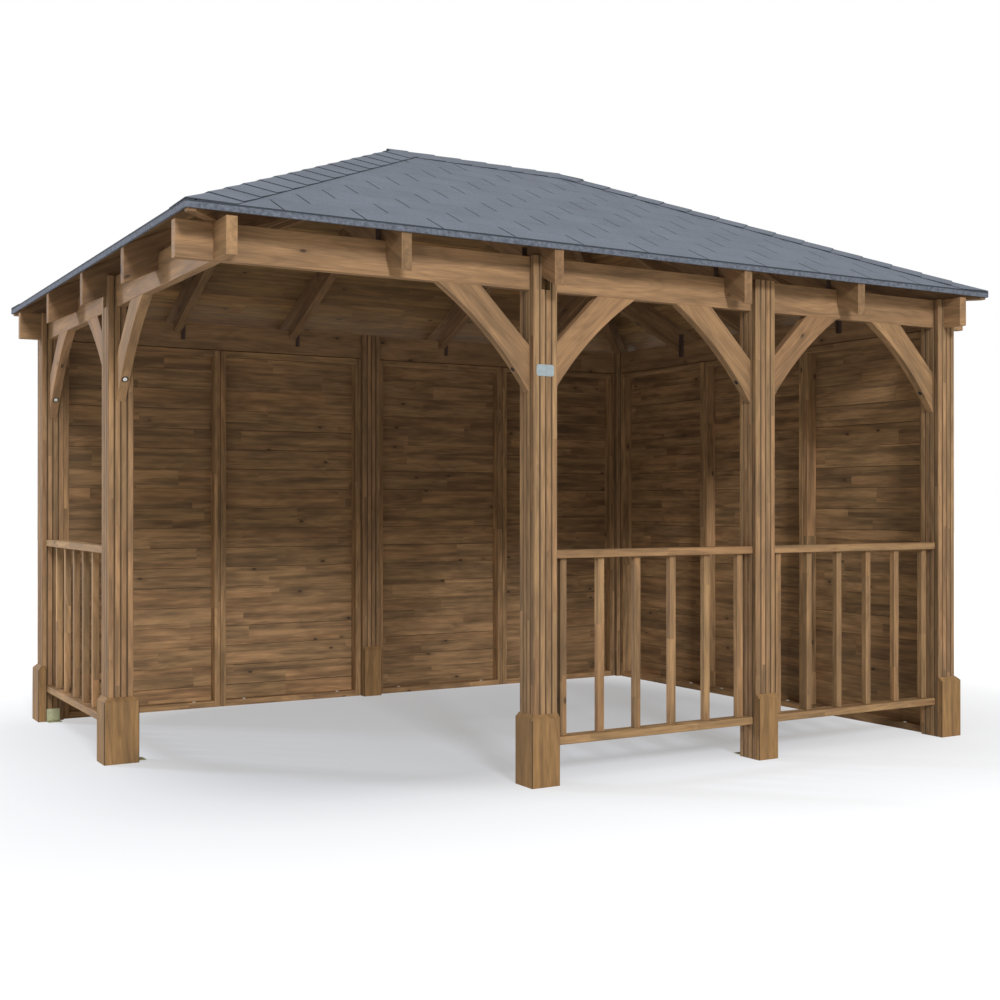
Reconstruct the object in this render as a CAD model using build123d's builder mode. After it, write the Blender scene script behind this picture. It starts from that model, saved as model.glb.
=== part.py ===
"""Rectangular timber garden gazebo with a hipped, slate-effect roof.

Seven grooved posts carry a ring of beams that cross at the corners. The front
left corner has no post: both beams run on past it to meet. Two sides are closed
with framed and boarded panels, three bays have a balustrade.

Origin: centre of the plan on the ground. +X along the long side, +Y from the
front to the back, +Z up. Millimetres.
"""

from build123d import *
from math import cos, radians, sqrt, tan
import os

# Plan
PANEL_W = 920.0
POST = 120.0
LENGTH = 4 * PANEL_W + 3 * POST
WIDTH = 3 * PANEL_W + 2 * POST
HALF_L = LENGTH / 2
HALF_W = WIDTH / 2
POST_X = HALF_L - POST / 2
POST_Y = HALF_W - POST / 2
OPEN_BAY = 1440.0
POST_C_X = -HALF_L + OPEN_BAY + POST / 2
RAIL_BAY = (POST_X - POST_C_X - 2 * POST) / 2
POST_D_X = POST_C_X + POST + RAIL_BAY

# Timber sections
TIMBER = 45.0
HALF_T = TIMBER / 2
BEAM_H = 145.0
RAFTER_D = 145.0
RIDGE_T = 32.0
RIDGE_D = 170.0

# Heights
BEAM_BOTTOM = 2135.0
BEAM_TOP = BEAM_BOTTOM + BEAM_H
BEAM_MID = (BEAM_BOTTOM + BEAM_TOP) / 2
RAFTER_TOP = 2298.0

# Roof
PITCH = radians(25)
RISE = tan(PITCH)
TAIL = 110.0
TRIM_T = 10.0
TRIM_BOTTOM = 2291.0
BOARD_T = 18.0 / cos(PITCH)
TILE_T = 6.0 / cos(PITCH)
CAP_T = 6.0 / cos(PITCH)
CAP_HALF = 140.0
TAIL_X = HALF_L + TAIL
TAIL_Y = HALF_W + TAIL
RIDGE_X = TAIL_X - TAIL_Y
RAFTER_PLUMB = RAFTER_D / cos(PITCH)
JACK_X = (POST_X + RIDGE_X) / 2
JACK_Y = JACK_X - RIDGE_X
RAFTER_FOOT = RAFTER_TOP - RAFTER_PLUMB
HEEL = TAIL + POST / 2 - HALF_T
SEAT_END = HEEL + TIMBER
HIP_RISE = RISE / sqrt(2)
HIP_PLUMB = RAFTER_D * sqrt(1 + HIP_RISE ** 2)
HIP_SEAT_END = (BEAM_TOP - RAFTER_TOP + HIP_PLUMB) / HIP_RISE
HIP_SIDE = HALF_T * sqrt(2)
TILE_BOTTOM = RAFTER_TOP + BOARD_T
TILE_TOP = TILE_BOTTOM + TILE_T

# Posts
GROOVE = 6.4
GROOVE_STEP = POST / 4
POST_CHAMFER = 4.0
PLINTH_H = 310.0
PLINTH_T = 22.0
PLINTH_CUT = 20.0
BRACKET_W = 75.0
BRACKET_LEG = 68.0
BRACKET_T = 3.0

# Braces, sawn from a wide board
BRACE_NEAR = 238.0
BRACE_FAR = 443.0
BRACE_SAG = -32.0

# Wall panels
FRAME_T = 70.0
FRAME_W = 35.0
CLAD_T = 20.0
CLAD_BOARDS = 18
CLAD_GROOVE = 4.0

# Balustrades
RAIL_D = 75.0
RAIL_H = 35.0
HAND_RAIL_TOP = 1012.0
LOW_RAIL_BOTTOM = 165.0
BALUSTER = 32.0
BALUSTERS = 6
BALUSTER_PITCH = 200.0

SLACK = 1.0
BIG = 3 * LENGTH


def write(part, name):
    """Label a finished piece and export it."""
    part.label = name
    export_step(part, f"parts/{name}.step")


def box(x0, x1, y0, y1, z0, z1, mode=Mode.ADD):
    """Box between two corners, for the builder that is active."""
    with Locations(((x0 + x1) / 2, (y0 + y1) / 2, (z0 + z1) / 2)):
        Box(x1 - x0, y1 - y0, z1 - z0, mode=mode)


def side_plane(x, y, inward):
    """Upright plane: local x runs inward from the point, local y runs up."""
    return Plane(origin=(x, y, 0), x_dir=inward, z_dir=Vector(*inward).cross(Vector(0, 0, 1)))


INWARD = {"front": (0, 1, 0), "back": (0, -1, 0), "left": (1, 0, 0), "right": (-1, 0, 0)}


def tail_plane(side, along):
    """Plane of a rafter that starts at the roof's edge on one side."""
    start = {
        "front": (along, -TAIL_Y),
        "back": (along, TAIL_Y),
        "left": (-TAIL_X, along),
        "right": (TAIL_X, along),
    }[side]
    return side_plane(start[0], start[1], INWARD[side])


def slope_outline(side, grow=0.0, ease=0.0):
    """Plan corners of one roof slope, grown past the tails or eased off the hips."""
    tx = TAIL_X + grow
    ty = TAIL_Y + grow
    corners = {
        "front": [(-tx + ease, -ty), (tx - ease, -ty), (RIDGE_X - ease, 0), (-RIDGE_X + ease, 0)],
        "back": [(-tx + ease, ty), (tx - ease, ty), (RIDGE_X - ease, 0), (-RIDGE_X + ease, 0)],
        "left": [(-tx, -ty + ease), (-RIDGE_X - ease, 0), (-tx, ty - ease)],
        "right": [(tx, -ty + ease), (RIDGE_X + ease, 0), (tx, ty - ease)],
    }
    return corners[side]


# Posts


def make_post(name, x, y, slots, tail_notch=None):
    """One post. Slots in its top take the beams, a notch lets a rafter by."""
    with BuildPart() as post:
        with BuildSketch(Plane.XY):
            with Locations((x, y)):
                outline = Rectangle(POST, POST)
                chamfer(outline.vertices(), POST_CHAMFER)
                with PolarLocations(POST / 2, 4):
                    with Locations((0, -GROOVE_STEP), (0, 0), (0, GROOVE_STEP)):
                        Rectangle(GROOVE, GROOVE, rotation=45, mode=Mode.SUBTRACT)
        extrude(amount=BEAM_TOP)
        top = BEAM_TOP + SLACK
        rafter = RAFTER_FOOT + SEAT_END * RISE
        if "x" in slots:
            box(x - POST, x + POST, y - HALF_T, y + HALF_T, BEAM_BOTTOM, top, Mode.SUBTRACT)
        if "y" in slots:
            box(x - HALF_T, x + HALF_T, y - POST, y + POST, BEAM_BOTTOM, top, Mode.SUBTRACT)
        if tail_notch == "front":
            box(x - HALF_T, x + HALF_T, y - POST, y, BEAM_BOTTOM, top, Mode.SUBTRACT)
            box(x - HALF_T, x + HALF_T, y, y + POST, rafter, top, Mode.SUBTRACT)
        if tail_notch == "left":
            box(x - POST, x, y - HALF_T, y + HALF_T, BEAM_BOTTOM, top, Mode.SUBTRACT)
            box(x, x + POST, y - HALF_T, y + HALF_T, rafter, top, Mode.SUBTRACT)
    write(post.part, name)


def make_posts():
    make_post("post_front_inner_left", POST_C_X, -POST_Y, "x", "front")
    make_post("post_front_inner_right", POST_D_X, -POST_Y, "x")
    make_post("post_front_right", POST_X, -POST_Y, "xy")
    make_post("post_left_middle", -POST_X, 0, "y", "left")
    make_post("post_back_left", -POST_X, POST_Y, "xy")
    make_post("post_back_middle", 0, POST_Y, "x")
    make_post("post_back_right", POST_X, POST_Y, "xy")


PLINTHS = [
    (POST_C_X, -POST_Y, ("left", "front")),
    (POST_D_X, -POST_Y, ("front",)),
    (POST_X, -POST_Y, ("front", "right")),
    (-POST_X, 0, ("left", "front", "right")),
    (-POST_X, POST_Y, ("left", "back")),
    (0, POST_Y, ("front", "back")),
    (POST_X, POST_Y, ("right", "back")),
]


BRACKETS = [
    (POST_C_X, -POST_Y + POST / 2, (0, 1, 0)),
    (POST_D_X, -POST_Y + POST / 2, (0, 1, 0)),
    (-POST_X + POST / 2, 0, (1, 0, 0)),
    (-POST_X, POST_Y - POST / 2, (0, -1, 0)),
]


def bracket_angle(x, y, outward):
    """Folded steel angle with its upright leg against a post's face."""
    with BuildPart() as bracket:
        with BuildSketch(side_plane(x, y, outward)):
            with BuildLine():
                Polyline(
                    (0, 0),
                    (BRACKET_LEG, 0),
                    (BRACKET_LEG, BRACKET_T),
                    (BRACKET_T, BRACKET_T),
                    (BRACKET_T, BRACKET_LEG),
                    (0, BRACKET_LEG),
                    close=True,
                )
            make_face()
        extrude(amount=BRACKET_W / 2, both=True)
    return bracket.part


def make_brackets(angles):
    """The angles that fix four posts to the ground, on their inner faces."""
    with BuildPart() as brackets:
        for angle in angles:
            add(angle)
    write(brackets.part, "post_brackets")


def plinth_block(x0, x1, y0, y1, faces):
    """Block with its top edge cut back at 45 degrees on the sides that are named."""
    with BuildPart() as block:
        box(x0, x1, y0, y1, 0, PLINTH_H)
        top = block.edges().group_by(Axis.Z)[-1]
        sides = {
            "left": top.sort_by(Axis.X)[0],
            "right": top.sort_by(Axis.X)[-1],
            "front": top.sort_by(Axis.Y)[0],
            "back": top.sort_by(Axis.Y)[-1],
        }
        chamfer([sides[face] for face in faces], PLINTH_CUT)
    return block.part


def make_plinths(angles):
    """Skirting round the free faces of each post, and a strip beside the left rail's end.

    It is notched for the brackets.
    """
    half = POST / 2
    blocks = []
    for x, y, faces in PLINTHS:
        blocks.append(plinth_block(
            x - half - PLINTH_T * ("left" in faces),
            x + half + PLINTH_T * ("right" in faces),
            y - half - PLINTH_T * ("front" in faces),
            y + half + PLINTH_T * ("back" in faces),
            faces,
        ))
    strip = plinth_block(
        -HALF_L - PLINTH_T,
        -POST_X - RAIL_D / 2,
        POST_Y - half - PLINTH_T,
        POST_Y - half,
        ("left", "front"),
    )
    with BuildPart() as plinths:
        for block in blocks:
            add(block)
        for x, y, faces in PLINTHS:
            box(x - half, x + half, y - half, y + half, -SLACK, PLINTH_H + SLACK, Mode.SUBTRACT)
        for angle in angles:
            add(angle, mode=Mode.SUBTRACT)
        add(strip)
    write(plinths.part, "post_plinths")


def make_beams():
    """Ring of four beams, halved over each other at the corners."""
    corners = [(sx * POST_X, sy * POST_Y) for sx in (-1, 1) for sy in (-1, 1)]
    for name, y in (("front_beam", -POST_Y), ("back_beam", POST_Y)):
        with BuildPart() as beam:
            box(-TAIL_X, TAIL_X, y - HALF_T, y + HALF_T, BEAM_BOTTOM, BEAM_TOP)
            for cx, cy in corners:
                if cy == y:
                    box(cx - HALF_T, cx + HALF_T, y - POST, y + POST, BEAM_MID, BEAM_TOP + SLACK,
                        Mode.SUBTRACT)
        write(beam.part, name)
    for name, x in (("left_beam", -POST_X), ("right_beam", POST_X)):
        with BuildPart() as beam:
            box(x - HALF_T, x + HALF_T, -TAIL_Y, TAIL_Y, BEAM_BOTTOM, BEAM_TOP)
            for cx, cy in corners:
                if cx == x:
                    box(x - POST, x + POST, cy - HALF_T, cy + HALF_T, BEAM_BOTTOM - SLACK, BEAM_MID,
                        Mode.SUBTRACT)
        write(beam.part, name)


# Roof frame


def roof_volume():
    """Everything under the top of the rafters: four planes of equal pitch."""
    high = RAFTER_TOP + TAIL_Y * RISE
    with BuildPart() as volume:
        with BuildSketch(Plane.YZ):
            with BuildLine():
                Polyline((-TAIL_Y, 0), (-TAIL_Y, RAFTER_TOP), (0, high), (TAIL_Y, RAFTER_TOP), (TAIL_Y, 0),
                         close=True)
            make_face()
        extrude(amount=TAIL_X, both=True)
        with BuildSketch(Plane.XZ):
            with BuildLine():
                Polyline((-TAIL_X, 0), (-TAIL_X, RAFTER_TOP), (-RIDGE_X, high), (RIDGE_X, high),
                         (TAIL_X, RAFTER_TOP), (TAIL_X, 0), close=True)
            make_face()
        extrude(amount=TAIL_Y, both=True, mode=Mode.INTERSECT)
    return volume.part


def rafter_profile(run):
    """Side view of a rafter, notched over the full width of the beam, both ends cut plumb."""
    Polyline(
        (0, RAFTER_TOP),
        (run, RAFTER_TOP + run * RISE),
        (run, RAFTER_FOOT + run * RISE),
        (SEAT_END, RAFTER_FOOT + SEAT_END * RISE),
        (SEAT_END, BEAM_TOP),
        (HEEL, BEAM_TOP),
        (HEEL, RAFTER_FOOT + HEEL * RISE),
        (0, RAFTER_FOOT),
        close=True,
    )


def make_rafters(name, side, full, full_run, jacks, jack_run):
    """The rafters of one slope: full ones to the ridge, jacks cut against the hips."""
    with BuildPart() as rafters:
        for along in jacks:
            with BuildSketch(tail_plane(side, along)):
                with BuildLine():
                    rafter_profile(jack_run)
                make_face()
            extrude(amount=HALF_T, both=True)
        with BuildSketch(Plane.XY.offset(BEAM_BOTTOM - BEAM_H)):
            with BuildLine():
                Polyline(*slope_outline(side, ease=HIP_SIDE), close=True)
            make_face()
        extrude(amount=LENGTH / 2, mode=Mode.INTERSECT)
        for along in full:
            with BuildSketch(tail_plane(side, along)):
                with BuildLine():
                    rafter_profile(full_run)
                make_face()
            extrude(amount=HALF_T, both=True)
        add(UNDER_ROOF, mode=Mode.INTERSECT)
    write(rafters.part, name)


def make_all_rafters():
    full_run = TAIL_Y - RIDGE_T / 2
    jack_run = TAIL_Y - JACK_Y + TIMBER
    crown_run = TAIL_X - RIDGE_X - HALF_T
    for side in ("front", "back"):
        make_rafters(f"{side}_rafters", side, (-RIDGE_X, RIDGE_X), full_run, (-JACK_X, JACK_X), jack_run)
    for side in ("left", "right"):
        make_rafters(f"{side}_rafters", side, (0,), crown_run, (-JACK_Y, JACK_Y), jack_run)


def make_ridge_board():
    top = RAFTER_TOP + (TAIL_Y - RIDGE_T / 2) * RISE
    end = RIDGE_X + HALF_T
    with BuildPart() as ridge:
        box(-end, end, -RIDGE_T / 2, RIDGE_T / 2, top - RIDGE_D, top)
        add(UNDER_ROOF, mode=Mode.INTERSECT)
    write(ridge.part, "ridge_board")


def make_hips(name, sy):
    """Two hip rafters: backed to both slopes, seated on the beams' crossing,
    and cut with two cheeks where they meet the common and the crown rafter."""
    run = TAIL_Y * sqrt(2)
    high = RAFTER_TOP + run * HIP_RISE
    with BuildPart() as hips:
        for sx in (-1, 1):
            inward = (-sx / sqrt(2), -sy / sqrt(2), 0)
            with BuildSketch(side_plane(sx * TAIL_X, sy * TAIL_Y, inward)):
                with BuildLine():
                    Polyline(
                        (-TIMBER, BEAM_TOP),
                        (-TIMBER, high + BEAM_H),
                        (run, high + BEAM_H),
                        (run, high - HIP_PLUMB),
                        (HIP_SEAT_END, BEAM_TOP),
                        close=True,
                    )
                make_face()
            extrude(amount=HALF_T, both=True)
        add(UNDER_ROOF, mode=Mode.INTERSECT)
        end = RIDGE_X + HALF_T
        box(-end, end, -TAIL_Y, TAIL_Y, 0, BIG, Mode.SUBTRACT)
        box(-TAIL_X, TAIL_X, -HALF_T, HALF_T, 0, BIG, Mode.SUBTRACT)
    write(hips.part, name)


# Roof covering


def slope_piece(side, bottom, thick, grow, outline):
    """Even layer on one slope, cut to an outline in plan."""
    run = TAIL_Y
    with BuildPart() as piece:
        with BuildSketch(tail_plane(side, 0)):
            with BuildLine():
                Polyline(
                    (-grow, bottom - grow * RISE),
                    (run, bottom + run * RISE),
                    (run, bottom + thick + run * RISE),
                    (-grow, bottom + thick - grow * RISE),
                    close=True,
                )
            make_face()
        extrude(amount=TAIL_X + grow, both=True)
        with BuildSketch(Plane.XY):
            with BuildLine():
                Polyline(*outline, close=True)
            make_face()
        extrude(amount=BIG, mode=Mode.INTERSECT)
    return piece.part


def make_slope_layer(name, side, bottom, thick, grow=0.0):
    write(slope_piece(side, bottom, thick, grow, slope_outline(side, grow)), name)


def make_trim(name, long):
    """Two edge strips under the lowest tiles, mitred at the corners."""
    x = TAIL_X + TRIM_T
    y = TAIL_Y + TRIM_T
    top = TILE_BOTTOM - TRIM_T * RISE
    with BuildPart() as trim:
        with BuildSketch(Plane.XY.offset(TRIM_BOTTOM)):
            for s in (-1, 1):
                with BuildLine():
                    if long:
                        Polyline((-x, s * y), (x, s * y), (TAIL_X, s * TAIL_Y), (-TAIL_X, s * TAIL_Y),
                                 close=True)
                    else:
                        Polyline((s * x, -y), (s * x, y), (s * TAIL_X, TAIL_Y), (s * TAIL_X, -TAIL_Y),
                                 close=True)
                make_face()
        extrude(amount=top - TRIM_BOTTOM)
    write(trim.part, name)


def cap_wing(side, outline):
    """One wing of a cap, lying on the tiles of a slope."""
    return slope_piece(side, TILE_TOP, CAP_T, TRIM_T, outline)


def make_hip_caps(name, sy):
    wide = CAP_HALF * sqrt(2)
    tx = TAIL_X + TRIM_T
    ty = TAIL_Y + TRIM_T
    wings = []
    for sx, end in ((-1, "left"), (1, "right")):
        long = "front" if sy < 0 else "back"
        low = (sx * tx, sy * ty)
        top = (sx * RIDGE_X, 0)
        wings.append((long, [low, top, (sx * RIDGE_X, sy * wide), (sx * (tx - wide), sy * ty)]))
        wings.append((end, [low, top, (sx * (RIDGE_X + wide), 0), (sx * tx, sy * (ty - wide))]))
    parts = [cap_wing(side, outline) for side, outline in wings]
    with BuildPart() as caps:
        for part in parts:
            add(part)
    write(caps.part, name)


def make_ridge_cap():
    wings = []
    for side, sy in (("front", -1), ("back", 1)):
        outline = [(-RIDGE_X, 0), (RIDGE_X, 0), (RIDGE_X, sy * CAP_HALF), (-RIDGE_X, sy * CAP_HALF)]
        wings.append(cap_wing(side, outline))
    with BuildPart() as cap:
        for wing in wings:
            add(wing)
    write(cap.part, "ridge_cap")


# Walls, braces and balustrades


def make_panel(name, x, y, inward):
    """Framed panel with horizontal boards on its outer side.

    The point is the panel's outer face at the middle of its width.
    """
    across = Vector(0, 0, 1).cross(Vector(*inward))
    outer = Plane(origin=(x, y, 0), x_dir=across, z_dir=inward)
    board = BEAM_BOTTOM / CLAD_BOARDS
    middle = BEAM_BOTTOM / 2
    with BuildPart() as panel:
        with BuildSketch(outer):
            with Locations((0, middle)):
                Rectangle(PANEL_W, BEAM_BOTTOM)
        extrude(amount=CLAD_T)
        with BuildSketch(outer.offset(CLAD_T)):
            with Locations((0, middle)):
                Rectangle(PANEL_W, BEAM_BOTTOM)
            with Locations((0, middle)):
                Rectangle(PANEL_W - 2 * FRAME_W, BEAM_BOTTOM - 2 * FRAME_W, mode=Mode.SUBTRACT)
        extrude(amount=FRAME_T)
        for depth, width in ((0, PANEL_W), (CLAD_T, PANEL_W - 2 * FRAME_W)):
            start = Vector(x, y, 0) + Vector(*inward) * depth + across * (width / 2)
            with BuildSketch(Plane(origin=start, x_dir=inward, z_dir=across * -1)):
                with Locations(*[(0, board * n) for n in range(1, CLAD_BOARDS)]):
                    Rectangle(CLAD_GROOVE, CLAD_GROOVE, rotation=45)
            extrude(amount=width, mode=Mode.SUBTRACT)
    write(panel.part, name)


def make_panels():
    outer_y = HALF_W
    for n, x in enumerate((-POST_X + POST / 2, -POST_X + POST / 2 + PANEL_W, POST / 2, POST / 2 + PANEL_W)):
        make_panel(f"back_wall_panel_{n + 1}", x + PANEL_W / 2, outer_y, (0, -1, 0))
    for n in range(3):
        y = POST_Y - POST / 2 - PANEL_W * (n + 0.5)
        make_panel(f"right_wall_panel_{n + 1}", HALF_L, y, (-1, 0, 0))


def make_braces(name, spots):
    """Curved braces between posts and a beam: one straight edge, one hollow edge.

    A spot is the corner under the beam beside a post, and the way to the bay's middle.
    """
    with BuildPart() as braces:
        for x, y, towards in spots:
            corner = side_plane(x, y, towards)
            with BuildSketch(corner):
                with BuildLine():
                    low = (0, BEAM_BOTTOM - BRACE_FAR)
                    far = (BRACE_FAR, BEAM_BOTTOM)
                    Polyline(low, (0, BEAM_BOTTOM - BRACE_NEAR), (BRACE_NEAR, BEAM_BOTTOM), far)
                    SagittaArc(far, low, BRACE_SAG)
                make_face()
            extrude(amount=HALF_T, both=True)
    write(braces.part, name)


def make_all_braces():
    half = POST / 2
    right = (1, 0, 0)
    left = (-1, 0, 0)
    make_braces("front_braces", [
        (POST_C_X - half, -POST_Y, left),
        (POST_C_X + half, -POST_Y, right),
        (POST_D_X - half, -POST_Y, left),
        (POST_D_X + half, -POST_Y, right),
        (POST_X - half, -POST_Y, left),
    ])
    make_braces("left_braces", [
        (-POST_X, -half, (0, -1, 0)),
        (-POST_X, half, (0, 1, 0)),
        (-POST_X, POST_Y - half, (0, -1, 0)),
    ])


def make_balustrade(name, start, along, length):
    """Two rails between posts with square balusters between them."""
    base = side_plane(start[0], start[1], along)
    first = (length - (BALUSTERS - 1) * BALUSTER_PITCH) / 2
    low_top = LOW_RAIL_BOTTOM + RAIL_H
    high_bottom = HAND_RAIL_TOP - RAIL_H
    with BuildPart() as balustrade:
        with BuildSketch(base):
            for z in (LOW_RAIL_BOTTOM, high_bottom):
                with Locations((length / 2, z + RAIL_H / 2)):
                    Rectangle(length, RAIL_H)
        extrude(amount=RAIL_D / 2, both=True)
        with BuildSketch(base):
            for n in range(BALUSTERS):
                with Locations((first + n * BALUSTER_PITCH, (low_top + high_bottom) / 2)):
                    Rectangle(BALUSTER, high_bottom - low_top)
        extrude(amount=BALUSTER / 2, both=True)
    write(balustrade.part, name)


def make_balustrades():
    half = POST / 2
    make_balustrade("balustrade_front_1", (POST_C_X + half, -POST_Y), (1, 0, 0), RAIL_BAY)
    make_balustrade("balustrade_front_2", (POST_D_X + half, -POST_Y), (1, 0, 0), RAIL_BAY)
    make_balustrade("balustrade_left", (-POST_X, half), (0, 1, 0), POST_Y - POST)


os.makedirs("parts", exist_ok=True)
UNDER_ROOF = roof_volume()
make_posts()
ANGLES = [bracket_angle(*spot) for spot in BRACKETS]
make_plinths(ANGLES)
make_brackets(ANGLES)
make_beams()
make_all_rafters()
make_ridge_board()
make_hips("hip_rafters_front", -1)
make_hips("hip_rafters_back", 1)
for slope in ("front", "back", "left", "right"):
    make_slope_layer(f"roof_boards_{slope}", slope, RAFTER_TOP, BOARD_T)
    make_slope_layer(f"roof_tiles_{slope}", slope, TILE_BOTTOM, TILE_T, TRIM_T)
make_trim("eaves_trim_long", True)
make_trim("eaves_trim_short", False)
make_hip_caps("hip_caps_front", -1)
make_hip_caps("hip_caps_back", 1)
make_ridge_cap()
make_panels()
make_all_braces()
make_balustrades()
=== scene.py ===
"""Looks for the garden gazebo: stained timber, slate-effect shingles, steel fittings."""

import math
import random

import bmesh
import bpy
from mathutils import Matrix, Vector


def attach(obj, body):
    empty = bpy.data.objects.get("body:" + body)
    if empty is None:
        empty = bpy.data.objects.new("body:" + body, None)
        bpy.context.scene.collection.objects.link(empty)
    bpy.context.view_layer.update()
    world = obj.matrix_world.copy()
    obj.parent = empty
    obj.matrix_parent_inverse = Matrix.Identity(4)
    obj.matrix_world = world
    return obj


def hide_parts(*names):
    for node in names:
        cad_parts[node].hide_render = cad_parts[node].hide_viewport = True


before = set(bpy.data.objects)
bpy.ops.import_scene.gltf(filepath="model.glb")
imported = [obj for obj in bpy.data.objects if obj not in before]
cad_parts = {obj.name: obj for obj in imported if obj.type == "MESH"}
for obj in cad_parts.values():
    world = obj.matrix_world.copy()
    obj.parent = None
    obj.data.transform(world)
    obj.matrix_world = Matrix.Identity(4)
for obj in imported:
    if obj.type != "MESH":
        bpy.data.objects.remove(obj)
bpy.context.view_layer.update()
rng = random.Random(7)

# Main sizes of the frame, in metres. C and D are the inner front posts.
POST = 0.12
POST_X = 1.96
POST_Y = 1.44
POST_C_X = -0.52
POST_D_X = 0.72
TIMBER = 0.045
BEAM_BOTTOM = 2.135
BEAM_TOP = 2.28
PITCH = math.radians(25)
COS = math.cos(PITCH)
SIN = math.sin(PITCH)
RISE = math.tan(PITCH)
RIDGE_X = 0.52
TAIL_X = 2.13
TAIL_Y = 1.61
EDGE = 0.01
BOARD_T = 0.018
RAFTER_TOP = 2.298
RAFTERS_X = (-1.24, -0.52, 0.52, 1.24)
RAFTERS_Y = (-0.72, 0.0, 0.72)
TILE_BOTTOM = RAFTER_TOP + BOARD_T / COS
UP = Vector((0, 0, 1))
RIGHT = Vector((1, 0, 0))
AWAY = Vector((0, 1, 0))


# Mesh building

# A face with an edge shorter than this is an eased edge. It is painted paler, for wear and as a painted
# highlight where the edge catches the light
NARROW = 0.004
# Tone of a joint, or of a post's groove, where it paints the shade in the groove
DARK = -1.0
# Points of an outline that are nearer than this are one point
SAME_POINT = 1e-4
# Points of a CAD mesh that are nearer than this are one point
WELD = 1e-5
# Steps in which the long axis of a solid is found
AXIS_STEPS = 40
# Range of the tones of most timbers
MIDDLE = (0.3, 0.7)


def new_seed():
    """A random number that gives a timber a grain of its own."""
    return rng.uniform(0, 50)


class Piece:
    """Collects solids that become one mesh, with each point's place in its own timber."""

    def __init__(self):
        self.points = []
        self.faces = []
        self.grain = []
        self.tone = []
        self.seed = []
        self.edge = []
        self.slots = []

    def add(self, bm, place, tone=0.5, seed=1.0, slot=0, worn=True, local=Vector.copy):
        """Adds a small mesh and frees it. place maps its points to the model.

        local maps them to the timber's own axes, where those aren't the mesh's. tone, seed and
        slot are numbers, or functions of a face.
        """
        start = len(self.points)
        bm.verts.index_update()
        for vert in bm.verts:
            self.points.append(place(vert.co))
            self.grain.append(local(vert.co))
        for face in bm.faces:
            self.faces.append([start + vert.index for vert in face.verts])
            self.tone.append(tone(face) if callable(tone) else tone)
            self.seed.append(seed(face) if callable(seed) else seed)
            self.slots.append(slot(face) if callable(slot) else slot)
            narrow = len(face.verts) <= 4 and min(e.calc_length() for e in face.edges) < NARROW
            self.edge.append(1.0 if narrow and worn else 0.0)
        bm.free()

    def build(self, name, materials, slot, nodes=()):
        """Makes the object with its materials, and says what it rides on and what it replaces. slot is
        not used.
        """
        mesh = bpy.data.meshes.new(name)
        mesh.from_pydata([tuple(p) for p in self.points], [], self.faces)
        for material in materials:
            mesh.materials.append(material)
        mesh.polygons.foreach_set("material_index", self.slots)
        grain = mesh.attributes.new("grain", "FLOAT_VECTOR", "POINT")
        grain.data.foreach_set("vector", [c for p in self.grain for c in p])
        for key, values in (("tone", self.tone), ("seed", self.seed), ("edge", self.edge)):
            mesh.attributes.new(key, "FLOAT", "FACE").data.foreach_set("value", values)
        mesh.update()
        obj = bpy.data.objects.new(name, mesh)
        bpy.context.scene.collection.objects.link(obj)
        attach(obj, "root")
        if nodes:
            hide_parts(*nodes)


def soften(bm, width, angle=30):
    """Cuts back the edges that are sharper than the angle."""
    limit = math.radians(angle)
    sharp = [e for e in bm.edges if len(e.link_faces) == 2 and e.calc_face_angle() > limit]
    if sharp:
        bmesh.ops.bevel(bm, geom=sharp, offset=width, segments=1, affect="EDGES",
                        clamp_overlap=True)


def prism(outline, low, high):
    """Closed solid over an outline, with a lower and an upper height for each corner."""
    bm = bmesh.new()
    bottom = [bm.verts.new((u, v, w)) for (u, v), w in zip(outline, low)]
    top = [bm.verts.new((u, v, w)) for (u, v), w in zip(outline, high)]
    bm.faces.new(list(reversed(bottom)))
    bm.faces.new(top)
    count = len(outline)
    for n in range(count):
        after = (n + 1) % count
        bm.faces.new((bottom[n], bottom[after], top[after], top[n]))
    return bm


def slab(outline, thick):
    """Closed flat solid over an outline, from 0 up."""
    return prism(outline, [0.0] * len(outline), [thick] * len(outline))


def clip(outline, a, b, c):
    """The part of an outline where a * u + b * v <= c."""
    kept = []
    for n, (u, v) in enumerate(outline):
        pu, pv = outline[n - 1]
        here = a * u + b * v - c
        before = a * pu + b * pv - c
        if (here <= 0) != (before <= 0):
            t = before / (before - here)
            kept.append((pu + (u - pu) * t, pv + (v - pv) * t))
        if here <= 0:
            kept.append((u, v))
    tidy = []
    for point in kept:
        if not tidy or math.dist(point, tidy[-1]) > SAME_POINT:
            tidy.append(point)
    if len(tidy) > 1 and math.dist(tidy[0], tidy[-1]) < SAME_POINT:
        tidy.pop()
    return tidy if len(tidy) > 2 else []


def area(outline):
    """Area inside an outline, below 0 where the outline runs clockwise."""
    return 0.5 * sum(
        outline[n - 1][0] * p[1] - p[0] * outline[n - 1][1] for n, p in enumerate(outline)
    )


def plank(piece, centre, along, up, size, tone, seed, bevel, worn=True):
    """Board with eased edges. size is its length, its height along up and its thickness."""
    out = along.cross(up)
    bm = bmesh.new()
    bmesh.ops.create_cube(bm, size=1)
    bmesh.ops.scale(bm, vec=size, verts=bm.verts)
    bmesh.ops.bevel(bm, geom=bm.edges[:], offset=bevel, segments=1, affect="EDGES")
    bm.normal_update()
    piece.add(bm, lambda p: centre + along * p.x + up * p.y + out * p.z, tone, seed, worn=worn)


def islands(bm):
    """Separate solids of a mesh, as lists of points."""
    left = set(bm.verts)
    found = []
    while left:
        start = min(left, key=lambda v: v.index)
        stack = [start]
        left.discard(start)
        group = []
        while stack:
            vert = stack.pop()
            group.append(vert)
            for edge in vert.link_edges:
                other = edge.other_vert(vert)
                if other in left:
                    left.discard(other)
                    stack.append(other)
        found.append(group)
    return found


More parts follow.
